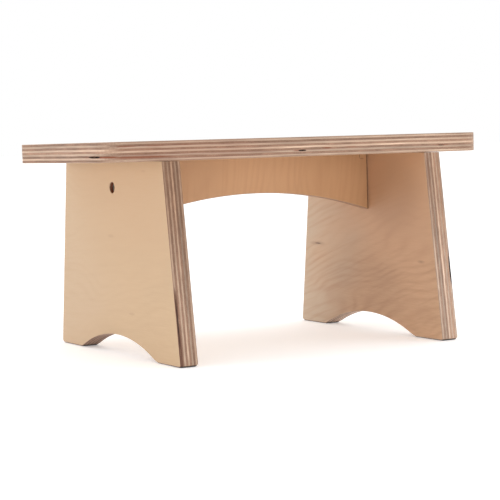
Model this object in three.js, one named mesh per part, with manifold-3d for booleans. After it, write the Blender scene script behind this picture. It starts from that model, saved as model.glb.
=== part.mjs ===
// A low plywood bench for balance and step exercises: a long top board on two
// panel legs, with an arched stretcher between the legs under the board.
// Units are millimetres. +X runs along the bench, +Y across it, +Z is up, and
// the origin is on the floor under the middle of the bench.
import * as THREE from 'three';
import { mergeVertices } from 'three/addons/utils/BufferGeometryUtils.js';
import Module from 'manifold-3d';

const wasm = await Module();
wasm.setup();

// ---- driving dimensions ----------------------------------------------------
const PANEL = 18; // thickness of the top board and of the legs
const STRETCHER_PANEL = 12; // thickness of the stretcher
const OVERALL_HEIGHT = 200;
const TOP_LENGTH = 410;
const TOP_WIDTH = 208; // also the width of a leg where it meets the board
const TOP_CORNER_RADIUS = 22; // of the board's four corners, seen from above
const LEG_SPREAD = 303; // from the outer face of one leg to that of the other
const FOOT_WIDTH = 256; // width of a leg at the floor
const FOOT_CORNER_RADIUS = 3;
const FOOT_ARCH_WIDTH = 164; // the cut-out that leaves two feet on each leg
const FOOT_ARCH_RISE = 19;
const STRETCHER_END_DEPTH = 57; // from the board down, at the legs
const STRETCHER_MIDDLE_DEPTH = 36; // from the board down, half way along
const EASED_EDGE = 1; // all exposed panel edges are rounded by this much
const GLUE_GAP = 0.3; // between pieces that are glued or screwed together

const SCREW_DROP = 24.5; // from the underside of the board to the screw's axis
const COUNTERBORE_RADIUS = 5.2;
const HEAD_RECESS = 2.8; // how far the screw's head lies under the leg's face
const HEAD_RADIUS = 4.8;
const HEAD_HEIGHT = 4;
const SOCKET_ACROSS_FLATS = 4; // hexagon socket in the head
const SOCKET_DEPTH = 2.4;
const SHANK_RADIUS = 2.5;
const SHANK_LENGTH = 12; // the plain part under the head
const THREAD_ROOT_RADIUS = 1.7;
const THREAD_PITCH = 3;
const THREAD_TURNS = 11;
const TIP_LENGTH = 4;

const TOP_DOWEL = { radius: 4, length: 28, inBoard: 12 };
const TOP_DOWEL_PLACES = [-80, -30, 30, 80]; // across each leg
const END_DOWEL = { radius: 3, length: 28, inLeg: 10 };
const END_DOWEL_DROPS = [10, 44]; // from the board's underside to each dowel's axis
const RAIL_DOWEL = { radius: 3, length: 24, inBoard: 11 };
const RAIL_DOWEL_PLACES = [-60, 60]; // along the stretcher's top edge
const DOWEL_CHAMFER = 1;
const DOWEL_END_ROOM = 1; // glue room past the end of each dowel

const ARC_STEPS = 8;
const ROUND_SIDES = 16;

// ---- derived places --------------------------------------------------------
const underside = OVERALL_HEIGHT - PANEL;
const legTop = underside - GLUE_GAP;
const legOuter = LEG_SPREAD / 2;
const legInner = legOuter - PANEL;
const screwHeight = underside - SCREW_DROP;
const counterboreDepth = HEAD_RECESS + HEAD_HEIGHT + GLUE_GAP;
const threadLength = THREAD_PITCH * THREAD_TURNS;
const screwLength = HEAD_HEIGHT + SHANK_LENGTH + threadLength + TIP_LENGTH;

// ---- materials -------------------------------------------------------------
const topMaterial = new THREE.MeshStandardMaterial({ color: 0xc7a488, roughness: 0.62, metalness: 0 });
const legMaterial = new THREE.MeshStandardMaterial({ color: 0xd5b793, roughness: 0.6, metalness: 0 });
const stretcherMaterial = new THREE.MeshStandardMaterial({ color: 0xb88c67, roughness: 0.62, metalness: 0 });
const dowelMaterial = new THREE.MeshStandardMaterial({ color: 0xd9bf98, roughness: 0.75, metalness: 0 });
const steelMaterial = new THREE.MeshStandardMaterial({ color: 0x77756f, roughness: 0.38, metalness: 0.95 });

// ---- solids ----------------------------------------------------------------
function toSolid(geometry) {
  geometry.deleteAttribute('normal');
  geometry.deleteAttribute('uv');
  const merged = mergeVertices(geometry, 1e-4);
  const mesh = new wasm.Mesh({
    numProp: 3,
    vertProperties: Float32Array.from(merged.attributes.position.array),
    triVerts: Uint32Array.from(merged.index.array),
  });
  return new wasm.Manifold(mesh);
}

function toGeometry(solid) {
  const mesh = solid.getMesh();
  const geometry = new THREE.BufferGeometry();
  geometry.setAttribute('position', new THREE.BufferAttribute(mesh.vertProperties, 3));
  geometry.setIndex(new THREE.BufferAttribute(mesh.triVerts, 1));
  geometry.computeVertexNormals();
  return geometry;
}

function namedMesh(name, geometry, material) {
  const mesh = new THREE.Mesh(geometry, material);
  mesh.name = name;
  return mesh;
}

// A flat panel with eased edges: the outline lies in XY and the panel's
// thickness runs from z = 0 to z = thickness.
function panelGeometry(outline, thickness) {
  const geometry = new THREE.ExtrudeGeometry(outline, {
    depth: thickness - 2 * EASED_EDGE,
    bevelThickness: EASED_EDGE,
    bevelSize: EASED_EDGE,
    bevelOffset: -EASED_EDGE,
    bevelSegments: 2,
    curveSegments: ARC_STEPS,
  });
  geometry.translate(0, 0, EASED_EDGE);
  return geometry;
}

// A block given by its lowest and highest corners.
function blockSolid(low, high) {
  const size = high.clone().sub(low);
  const middle = high.clone().add(low).multiplyScalar(0.5);
  const geometry = new THREE.BoxGeometry(size.x, size.y, size.z);
  geometry.translate(middle.x, middle.y, middle.z);
  return toSolid(geometry);
}

// A drill: a cylinder whose axis starts at a point and runs a length along X, Y or Z.
function drillSolid(start, direction, length, radius) {
  const geometry = new THREE.CylinderGeometry(radius, radius, length, ROUND_SIDES);
  geometry.translate(0, length / 2, 0);
  const turn = new THREE.Quaternion().setFromUnitVectors(new THREE.Vector3(0, 1, 0), direction);
  geometry.applyQuaternion(turn);
  geometry.translate(start.x, start.y, start.z);
  return toSolid(geometry);
}

function drilled(solid, drills) {
  let result = solid;
  for (const drill of drills) {
    result = result.subtract(drill);
  }
  return result;
}

// Adds a line and an arc that rounds the corner between two straight edges.
function roundedCorner(shape, before, corner, after, radius) {
  const back = before.clone().sub(corner).normalize();
  const ahead = after.clone().sub(corner).normalize();
  const halfAngle = Math.acos(back.dot(ahead)) / 2;
  const middle = back.clone().add(ahead).normalize();
  const centre = corner.clone().addScaledVector(middle, radius / Math.sin(halfAngle));
  const tangent = radius / Math.tan(halfAngle);
  const from = corner.clone().addScaledVector(back, tangent).sub(centre);
  const to = corner.clone().addScaledVector(ahead, tangent).sub(centre);
  shape.lineTo(centre.x + from.x, centre.y + from.y);
  shape.absarc(centre.x, centre.y, radius, from.angle(), to.angle(), false);
}

// ---- top board -------------------------------------------------------------
function topOutline() {
  const x = TOP_LENGTH / 2;
  const y = TOP_WIDTH / 2;
  const corners = [
    new THREE.Vector2(x, -y),
    new THREE.Vector2(x, y),
    new THREE.Vector2(-x, y),
    new THREE.Vector2(-x, -y),
  ];
  const shape = new THREE.Shape();
  shape.moveTo(0, -y);
  corners.forEach((corner, i) => {
    const before = corners[(i + 3) % 4];
    const after = corners[(i + 1) % 4];
    roundedCorner(shape, before, corner, after, TOP_CORNER_RADIUS);
  });
  shape.closePath();
  return shape;
}

function topBoard() {
  const up = new THREE.Vector3(0, 0, 1);
  const drills = [];
  for (const side of [-1, 1]) {
    for (const y of TOP_DOWEL_PLACES) {
      const start = new THREE.Vector3(side * (legOuter - PANEL / 2), y, -1);
      const depth = 1 + TOP_DOWEL.inBoard + DOWEL_END_ROOM;
      drills.push(drillSolid(start, up, depth, TOP_DOWEL.radius + GLUE_GAP));
    }
  }
  for (const x of RAIL_DOWEL_PLACES) {
    const start = new THREE.Vector3(x, 0, -1);
    const depth = 1 + RAIL_DOWEL.inBoard + DOWEL_END_ROOM;
    drills.push(drillSolid(start, up, depth, RAIL_DOWEL.radius + GLUE_GAP));
  }
  const board = drilled(toSolid(panelGeometry(topOutline(), PANEL)), drills);
  const mesh = namedMesh('top_board', toGeometry(board), topMaterial);
  mesh.position.z = underside;
  return mesh;
}

// ---- legs ------------------------------------------------------------------
// Seen square on: x across the leg, y up from the floor. The sides spread
// towards the floor and a shallow arch leaves two feet. The outline runs past
// the top of the leg, which is then cut off square.
function legOutline(overrun) {
  const slope = (FOOT_WIDTH - TOP_WIDTH) / 2 / underside;
  const topY = legTop + overrun;
  const topX = FOOT_WIDTH / 2 - slope * topY;
  const footX = FOOT_WIDTH / 2;
  const archX = FOOT_ARCH_WIDTH / 2;
  const archRadius = (archX * archX + FOOT_ARCH_RISE * FOOT_ARCH_RISE) / (2 * FOOT_ARCH_RISE);
  const archCentre = new THREE.Vector2(0, FOOT_ARCH_RISE - archRadius);
  const round = FOOT_CORNER_RADIUS;
  const toeX = Math.sqrt((archRadius + round) ** 2 - (round - archCentre.y) ** 2);
  const toeAngle = Math.atan2(round - archCentre.y, toeX);

  const shape = new THREE.Shape();
  const topRight = new THREE.Vector2(topX, topY);
  const topLeft = new THREE.Vector2(-topX, topY);
  const footLeft = new THREE.Vector2(-footX, 0);
  const footRight = new THREE.Vector2(footX, 0);
  shape.moveTo(topRight.x, topRight.y);
  shape.lineTo(topLeft.x, topLeft.y);
  roundedCorner(shape, topLeft, footLeft, footRight, round);
  shape.lineTo(-toeX, 0);
  shape.absarc(-toeX, round, round, -Math.PI / 2, -toeAngle, false);
  shape.absarc(archCentre.x, archCentre.y, archRadius, Math.PI - toeAngle, toeAngle, true);
  shape.absarc(toeX, round, round, Math.PI + toeAngle, 1.5 * Math.PI, false);
  roundedCorner(shape, footLeft, footRight, topRight, round);
  shape.closePath();
  return shape;
}

// The leg panel stands with its thickness along z: z = 0 is its inner face.
function legGeometry() {
  const overrun = 2 * EASED_EDGE;
  const wide = FOOT_WIDTH;
  const stock = toSolid(panelGeometry(legOutline(overrun), PANEL));
  const waste = blockSolid(
    new THREE.Vector3(-wide, legTop, -PANEL),
    new THREE.Vector3(wide, legTop + PANEL, 2 * PANEL),
  );
  const outward = new THREE.Vector3(0, 0, 1);
  const inward = new THREE.Vector3(0, 0, -1);
  const down = new THREE.Vector3(0, -1, 0);
  const faceOfHole = new THREE.Vector3(0, screwHeight, PANEL + 1);
  const drills = [
    waste,
    drillSolid(faceOfHole, inward, 1 + counterboreDepth, COUNTERBORE_RADIUS),
    drillSolid(faceOfHole, inward, PANEL + 2, SHANK_RADIUS + GLUE_GAP),
  ];
  for (const drop of END_DOWEL_DROPS) {
    const start = new THREE.Vector3(0, underside - drop, -1);
    const depth = 1 + END_DOWEL.inLeg + DOWEL_END_ROOM;
    drills.push(drillSolid(start, outward, depth, END_DOWEL.radius + GLUE_GAP));
  }
  for (const place of TOP_DOWEL_PLACES) {
    const start = new THREE.Vector3(place, legTop + 1, PANEL / 2);
    const depth = 1 + TOP_DOWEL.length - TOP_DOWEL.inBoard + DOWEL_END_ROOM;
    drills.push(drillSolid(start, down, depth, TOP_DOWEL.radius + GLUE_GAP));
  }
  return toGeometry(drilled(stock, drills));
}

// ---- screws and dowels -----------------------------------------------------
// The screw stands on its tip's side: its head's face is at y = 0 and the
// shank runs down to y = -screwLength.
function screwGeometry() {
  const headUnder = -HEAD_HEIGHT;
  const threadStart = headUnder - SHANK_LENGTH;
  const profile = [
    new THREE.Vector2(0, -screwLength),
    new THREE.Vector2(THREAD_ROOT_RADIUS, -screwLength + TIP_LENGTH),
  ];
  for (let turn = THREAD_TURNS; turn > 0; turn -= 1) {
    const foot = threadStart - turn * THREAD_PITCH;
    profile.push(new THREE.Vector2(SHANK_RADIUS, foot + THREAD_PITCH * 0.35));
    profile.push(new THREE.Vector2(THREAD_ROOT_RADIUS, foot + THREAD_PITCH * 0.6));
  }
  profile.push(new THREE.Vector2(SHANK_RADIUS, threadStart));
  profile.push(new THREE.Vector2(SHANK_RADIUS, headUnder));
  profile.push(new THREE.Vector2(HEAD_RADIUS, headUnder));
  profile.push(new THREE.Vector2(HEAD_RADIUS, -0.4));
  profile.push(new THREE.Vector2(HEAD_RADIUS - 0.4, 0));
  profile.push(new THREE.Vector2(0, 0));
  const body = toSolid(new THREE.LatheGeometry(profile, ROUND_SIDES));
  const socketRadius = SOCKET_ACROSS_FLATS / Math.sqrt(3);
  const socket = new THREE.CylinderGeometry(socketRadius, socketRadius, 2 * SOCKET_DEPTH, 6);
  return toGeometry(body.subtract(toSolid(socket)));
}

// A dowel pin lying along y, from y = 0 to y = length, with chamfered ends.
function dowelGeometry(size) {
  const inset = size.radius - DOWEL_CHAMFER;
  const profile = [
    new THREE.Vector2(0, 0),
    new THREE.Vector2(inset, 0),
    new THREE.Vector2(size.radius, DOWEL_CHAMFER),
    new THREE.Vector2(size.radius, size.length - DOWEL_CHAMFER),
    new THREE.Vector2(inset, size.length),
    new THREE.Vector2(0, size.length),
  ];
  return toGeometry(toSolid(new THREE.LatheGeometry(profile, ROUND_SIDES)));
}

// One leg with its screw and dowels. Inside the group x runs across the bench,
// y is up and z points outward from the middle of the bench.
function legAssembly(side, facing) {
  const assembly = new THREE.Group();
  const leg = namedMesh(`${side}_leg`, legGeometry(), legMaterial);
  leg.position.z = legInner;
  assembly.add(leg);

  const screw = namedMesh(`${side}_screw`, screwGeometry(), steelMaterial);
  screw.rotation.x = Math.PI / 2;
  screw.position.set(0, screwHeight, legOuter - HEAD_RECESS);
  assembly.add(screw);

  TOP_DOWEL_PLACES.forEach((place, i) => {
    const dowel = namedMesh(`${side}_top_dowel_${i + 1}`, dowelGeometry(TOP_DOWEL), dowelMaterial);
    const foot = underside + TOP_DOWEL.inBoard - TOP_DOWEL.length;
    dowel.position.set(place, foot, legOuter - PANEL / 2);
    assembly.add(dowel);
  });

  END_DOWEL_DROPS.forEach((drop, i) => {
    const dowel = namedMesh(`${side}_end_dowel_${i + 1}`, dowelGeometry(END_DOWEL), dowelMaterial);
    const start = legInner + END_DOWEL.inLeg - END_DOWEL.length;
    dowel.rotation.x = Math.PI / 2;
    dowel.position.set(0, underside - drop, start);
    assembly.add(dowel);
  });

  assembly.rotation.set(Math.PI / 2, 0, facing, 'ZYX');
  return assembly;
}

// ---- stretcher -------------------------------------------------------------
// Seen from the side: x along the bench and y up from the floor. The lower
// edge is a shallow arch. The outline runs past the ends and the top, which
// are then cut off square.
function stretcherOutline(halfLength, overrun) {
  const rise = STRETCHER_END_DEPTH - STRETCHER_MIDDLE_DEPTH;
  const radius = (halfLength * halfLength + rise * rise) / (2 * rise);
  const crown = underside - STRETCHER_MIDDLE_DEPTH;
  const reach = halfLength + overrun;
  const endAngle = Math.asin(reach / radius);
  const shape = new THREE.Shape();
  shape.moveTo(reach, legTop + overrun);
  shape.lineTo(-reach, legTop + overrun);
  shape.absarc(0, crown - radius, radius, Math.PI / 2 + endAngle, Math.PI / 2 - endAngle, true);
  shape.closePath();
  return shape;
}

function stretcher() {
  const group = new THREE.Group();
  const overrun = 2 * EASED_EDGE;
  const halfLength = legInner - GLUE_GAP;
  const middle = STRETCHER_PANEL / 2;
  const stock = toSolid(panelGeometry(stretcherOutline(halfLength, overrun), STRETCHER_PANEL));
  const room = blockSolid(
    new THREE.Vector3(-halfLength, 0, -PANEL),
    new THREE.Vector3(halfLength, legTop, 2 * PANEL),
  );
  const drills = [];
  for (const end of [-1, 1]) {
    const inward = new THREE.Vector3(-end, 0, 0);
    const outside = end * (halfLength + 1);
    const screwReach = screwLength + HEAD_RECESS - PANEL + DOWEL_END_ROOM;
    const pilot = new THREE.Vector3(outside, screwHeight, middle);
    drills.push(drillSolid(pilot, inward, 1 + screwReach, SHANK_RADIUS + GLUE_GAP));
    for (const drop of END_DOWEL_DROPS) {
      const start = new THREE.Vector3(outside, underside - drop, middle);
      const depth = 1 + END_DOWEL.length - END_DOWEL.inLeg + DOWEL_END_ROOM;
      drills.push(drillSolid(start, inward, depth, END_DOWEL.radius + GLUE_GAP));
    }
  }
  for (const x of RAIL_DOWEL_PLACES) {
    const start = new THREE.Vector3(x, legTop + 1, middle);
    const depth = 1 + RAIL_DOWEL.length - RAIL_DOWEL.inBoard + DOWEL_END_ROOM;
    drills.push(drillSolid(start, new THREE.Vector3(0, -1, 0), depth, RAIL_DOWEL.radius + GLUE_GAP));
  }
  const board = drilled(stock.intersect(room), drills);
  const rail = namedMesh('stretcher', toGeometry(board), stretcherMaterial);
  rail.position.z = -middle;
  group.add(rail);

  RAIL_DOWEL_PLACES.forEach((x, i) => {
    const dowel = namedMesh(`stretcher_top_dowel_${i + 1}`, dowelGeometry(RAIL_DOWEL), dowelMaterial);
    dowel.position.set(x, underside + RAIL_DOWEL.inBoard - RAIL_DOWEL.length, 0);
    group.add(dowel);
  });

  group.rotation.x = Math.PI / 2;
  return group;
}

// ---- the bench -------------------------------------------------------------
const bench = new THREE.Group();
bench.name = 'floor_balance_bench';
bench.add(topBoard());
bench.add(legAssembly('left', -Math.PI / 2));
bench.add(legAssembly('right', Math.PI / 2));
bench.add(stretcher());

export default bench;
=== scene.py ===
"""The looks of a low plywood bench for balance and step exercises.

Every wooden panel is rebuilt with fine arcs and softly eased edges around the
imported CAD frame, and gets a plywood material that knows its plies: which way
the grain of each ply runs decides whether a cut edge shows it pale or dark.
Lengths are metres, except in the plywood, where sizes and places are millimetres.
"""

import math
from collections import namedtuple

import bmesh
import bpy
from mathutils import Matrix, Vector, noise


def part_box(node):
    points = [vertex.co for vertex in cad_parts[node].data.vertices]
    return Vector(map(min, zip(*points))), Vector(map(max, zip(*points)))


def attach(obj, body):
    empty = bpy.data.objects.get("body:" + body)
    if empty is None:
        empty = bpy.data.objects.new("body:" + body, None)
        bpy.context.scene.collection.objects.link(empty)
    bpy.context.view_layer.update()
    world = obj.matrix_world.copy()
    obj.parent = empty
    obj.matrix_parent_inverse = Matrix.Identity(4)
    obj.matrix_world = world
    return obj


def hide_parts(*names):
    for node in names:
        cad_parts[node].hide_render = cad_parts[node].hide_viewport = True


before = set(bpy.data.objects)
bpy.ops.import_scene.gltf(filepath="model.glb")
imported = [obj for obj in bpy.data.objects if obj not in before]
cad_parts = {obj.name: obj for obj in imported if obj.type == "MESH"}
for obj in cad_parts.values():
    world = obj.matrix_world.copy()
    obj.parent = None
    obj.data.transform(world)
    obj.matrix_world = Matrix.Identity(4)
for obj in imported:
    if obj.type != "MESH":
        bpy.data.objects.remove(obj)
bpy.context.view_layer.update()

MM = 0.001
SIDES = {"left": -1, "right": 1}
X_AXIS, Y_AXIS, Z_AXIS = Vector((1, 0, 0)), Vector((0, 1, 0)), Vector((0, 0, 1))

# ---- shapes -----------------------------------------------------------------
EASED_EDGE = 0.6 * MM
WORN_SOLE_EDGE = 2.4 * MM
STRETCHER_EASE = 1 * MM
EASED_STEPS = 4
BOARD_CORNER_RADIUS = 22 * MM
FOOT_CORNER_RADIUS = 3 * MM
FOOT_WIDTH = 256 * MM
FOOT_ARCH_WIDTH = 164 * MM
FOOT_ARCH_RISE = 19 * MM
STRETCHER_ARCH_RISE = 21 * MM
CUT_OVERRUN = 4 * MM
CORNER_STEPS = 20
TOE_STEPS = 6
FOOT_ARCH_STEPS = 64
STRETCHER_ARCH_STEPS = 80
GAP_SIDES = 20
GAP_RINGS = 28
GAP_LUMPS = 0.3
LUMPS_ACROSS = 1.7
SMOOTH_BELOW = math.radians(35)
SHARPEST_BISECTOR = 0.5
TOUCHING = 1e-6
PLANE_REACH = 1e-7

# ---- fasteners --------------------------------------------------------------
DRILL_ROOM = 0.3 * MM
DRILL_END_ROOM = 1 * MM
DRILL_SIDES = 48
COUNTERBORE_RADIUS = 5.2 * MM
COUNTERBORE_FLARE = 0.35 * MM
HEAD_RADIUS = 4.8 * MM
HEAD_HEIGHT = 4 * MM
HEAD_EDGE = 0.5 * MM
HEAD_EDGE_CURVE = 0.3
SOCKET_SIDES = 6
SOCKET_ACROSS_FLATS = 4 * MM
SOCKET_DEPTH = 2.4 * MM
SHANK_RADIUS = 2.5 * MM
SHANK_LENGTH = 12 * MM
THREAD_ROOT_RADIUS = 1.7 * MM
THREAD_PITCH = 3 * MM
THREAD_CREST = 0.24
TIP_LENGTH = 4 * MM
SCREW_SIDES = 48
SCREW_STEP = 0.3 * MM
DOWEL_FLUTES = 18
SIDES_PER_FLUTE = 6
DOWEL_FLUTE_DEPTH = 0.25 * MM
DOWEL_CHAMFER = 1 * MM

# ---- camera: metres, degrees, and millimetres of lens and sensor ------------
CAMERA_PLACE = (-0.8221, -1.4192, 0.1986)
CAMERA_TURN = (86.2205, 1.6100, -30.0661)
CAMERA_LENS = 120.08
CAMERA_SENSOR = 36

# ---- light ------------------------------------------------------------------
BRIGHT_SIDE = (0.4, 1, 0.2)
ROOM_BRIGHTNESS = 1.0
ROOM_CONTRAST = 0.4
FLOOR_GLOW = 0.25
FLOOR_RADIUS = 30
FLOOR_SIDES = 96
FLOOR_DROP = 0.05 * MM
Lamp = namedtuple("Lamp", "name place target size power")
LAMPS = [
    Lamp("left_lamp", (-2.2, 0.3, 0.15), (0, 0, 0.1), 0.9, 20),
    Lamp("front_lamp", (0.1, -1.6, 0.1), (0.05, 0, 0.05), 0.9, 8),
    Lamp("right_lamp", (0.55, -0.5, 0.03), (0.1, -0.1, 0.1), 0.3, 1),
]


# ==== outlines ===============================================================
def arc(centre, radius, start, end, steps):
    """Points on an arc from one angle to another, both ends included."""
    points = []
    for i in range(steps + 1):
        angle = start + (end - start) * i / steps
        x = centre[0] + radius * math.cos(angle)
        y = centre[1] + radius * math.sin(angle)
        points.append(Vector((x, y)))
    return points


def rounded_corner(before, corner, after, radius, steps):
    """The arc that rounds the corner between two straight edges."""
    back = (before - corner).normalized()
    ahead = (after - corner).normalized()
    half_angle = math.acos(back.dot(ahead)) / 2
    centre = corner + (back + ahead).normalized() * (radius / math.sin(half_angle))
    tangent = radius / math.tan(half_angle)
    start = corner + back * tangent - centre
    end = corner + ahead * tangent - centre
    first = math.atan2(start.y, start.x)
    sweep = start.angle_signed(end)
    return arc(centre, radius, first, first - sweep, steps)


def board_outline(length, width):
    """The board seen from above, counter-clockwise."""
    x, y = length / 2, width / 2
    corners = [Vector((-x, -y)), Vector((x, -y)), Vector((x, y)), Vector((-x, y))]
    points = []
    for i, corner in enumerate(corners):
        before, after = corners[i - 1], corners[(i + 1) % 4]
        points += rounded_corner(before, corner, after, BOARD_CORNER_RADIUS, CORNER_STEPS)
    return points


def leg_outline(top_width, underside, top):
    """A leg seen square on, counter-clockwise: x across the leg, y up from the floor."""
    slope = (FOOT_WIDTH - top_width) / 2 / underside
    foot_x = FOOT_WIDTH / 2
    top_x = foot_x - slope * top
    half_arch = FOOT_ARCH_WIDTH / 2
    arch_radius = (half_arch**2 + FOOT_ARCH_RISE**2) / (2 * FOOT_ARCH_RISE)
    arch_y = FOOT_ARCH_RISE - arch_radius
    toe = FOOT_CORNER_RADIUS
    toe_x = math.sqrt((arch_radius + toe) ** 2 - (toe - arch_y) ** 2)
    toe_angle = math.atan2(toe - arch_y, toe_x)
    top_left, top_right = Vector((-top_x, top)), Vector((top_x, top))
    foot_left, foot_right = Vector((-foot_x, 0)), Vector((foot_x, 0))
    points = [top_right, top_left]
    points += rounded_corner(top_left, foot_left, foot_right, toe, TOE_STEPS)
    points += arc((-toe_x, toe), toe, -math.pi / 2, -toe_angle, TOE_STEPS)
    points += arc((0, arch_y), arch_radius, math.pi - toe_angle, toe_angle, FOOT_ARCH_STEPS)[1:-1]
    points += arc((toe_x, toe), toe, math.pi + toe_angle, 1.5 * math.pi, TOE_STEPS)
    points += rounded_corner(foot_left, foot_right, top_right, toe, TOE_STEPS)
    return points


def stretcher_outline(half_length, low, top):
    """The stretcher seen from the side, counter-clockwise, with its arched lower edge."""
    rise = STRETCHER_ARCH_RISE
    radius = (half_length**2 + rise**2) / (2 * rise)
    end_angle = math.asin(half_length / radius)
    centre = (0, low + rise - radius)
    up = math.pi / 2
    points = [Vector((half_length, top)), Vector((-half_length, top))]
    points += arc(centre, radius, up + end_angle, up - end_angle, STRETCHER_ARCH_STEPS)
    return points


# ==== meshes =================================================================
def new_object(name, mesh):
    piece = bpy.data.objects.new(name, mesh)
    bpy.context.scene.collection.objects.link(piece)
    return piece


def inset(outline, distances):
    """The outline moved inward, each point along its own bisector and by its own distance."""
    moved = []
    for i, (point, distance) in enumerate(zip(outline, distances)):
        before = (point - outline[i - 1]).normalized()
        after = (outline[(i + 1) % len(outline)] - point).normalized()
        bisector = (before + after).normalized()
        inward = Vector((-bisector.y, bisector.x))
        stretch = 1 / max(SHARPEST_BISECTOR, bisector.dot(after))
        moved.append(point + inward * distance * stretch)
    return moved


def eased_panel(outline, thickness, eases):
    """A bmesh panel from z = 0 up, its edges rounded at each outline point by its own radius."""
    quarter = []
    for i in range(EASED_STEPS + 1):
        angle = math.pi / 2 * i / EASED_STEPS
        quarter.append((1 - math.sin(angle), 1 - math.cos(angle)))
    panel = bmesh.new()
    loops = []
    for steps, face, side in ((quarter, 0, 1), (quarter[::-1], thickness, -1)):
        for inward, rise in steps:
            ring = inset(outline, [ease * inward for ease in eases])
            heights = [face + side * ease * rise for ease in eases]
            loops.append([panel.verts.new((p.x, p.y, height)) for p, height in zip(ring, heights)])
    for lower, upper in zip(loops, loops[1:]):
        for i in range(len(outline)):
            j = (i + 1) % len(outline)
            panel.faces.new((lower[i], lower[j], upper[j], upper[i]))
    panel.faces.new(list(reversed(loops[0])))
    panel.faces.new(loops[-1])
    return panel


def trim(panel, point, outward):
    """Cuts away what lies beyond a plane and closes the cut."""
    geometry = panel.verts[:] + panel.edges[:] + panel.faces[:]
    cut = bmesh.ops.bisect_plane(
        panel, geom=geometry, plane_co=point, plane_no=outward, clear_outer=True, dist=PLANE_REACH
    )
    edges = [e for e in cut["geom_cut"] if isinstance(e, bmesh.types.BMEdge)]
    bmesh.ops.contextual_create(panel, geom=edges)


def finished_mesh(source, name):
    bmesh.ops.recalc_face_normals(source, faces=source.faces)
    mesh = bpy.data.meshes.new(name)
    source.to_mesh(mesh)
    source.free()
    return mesh


def turned(profile, sides):
    """A bmesh solid turned about Z. Its (radius, height) points start and end on the axis."""
    solid = bmesh.new()
    rings = []
    for radius, height in profile:
        if radius == 0:
            rings.append([solid.verts.new((0, 0, height))])
            continue
        ring = []
        for i in range(sides):
            angle = math.tau * i / sides
            x = radius * math.cos(angle)
            y = radius * math.sin(angle)
            ring.append(solid.verts.new((x, y, height)))
        rings.append(ring)
    for lower, upper in zip(rings, rings[1:]):
        for i in range(sides):
            j = (i + 1) % sides
            below = [lower[i % len(lower)], lower[j % len(lower)]]
            above = [upper[j % len(upper)], upper[i % len(upper)]]
            solid.faces.new(list(dict.fromkeys(below + above)))
    return solid


def cut_with(piece, cutters):
    """Cuts the joined cutters out of a piece and removes them."""
    joined = bmesh.new()
    for cutter in cutters:
        joined.from_mesh(cutter)
        bpy.data.meshes.remove(cutter)
    tool = new_object("cutter", finished_mesh(joined, "cutter"))
    tool.matrix_world = piece.matrix_world
    cut = piece.modifiers.new("cut", "BOOLEAN")
    cut.operation = "DIFFERENCE"
    cut.solver = "EXACT"
    cut.object = tool
    apply_modifiers(piece)
    bpy.data.objects.remove(tool)


def apply_modifiers(piece):
    bpy.context.view_layer.update()
    shaped = piece.evaluated_get(bpy.context.evaluated_depsgraph_get())
    mesh = bpy.data.meshes.new_from_object(shaped)
    piece.modifiers.clear()
    piece.data = mesh


def smooth(piece):
    """Smooth shading with sharp corners kept, and flat faces that stay flat."""
    piece.data.shade_smooth()
    piece.data.set_sharp_from_angle(angle=SMOOTH_BELOW)
    weighted = piece.modifiers.new("weighted", "WEIGHTED_NORMAL")
    weighted.keep_sharp = True
    apply_modifiers(piece)


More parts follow.
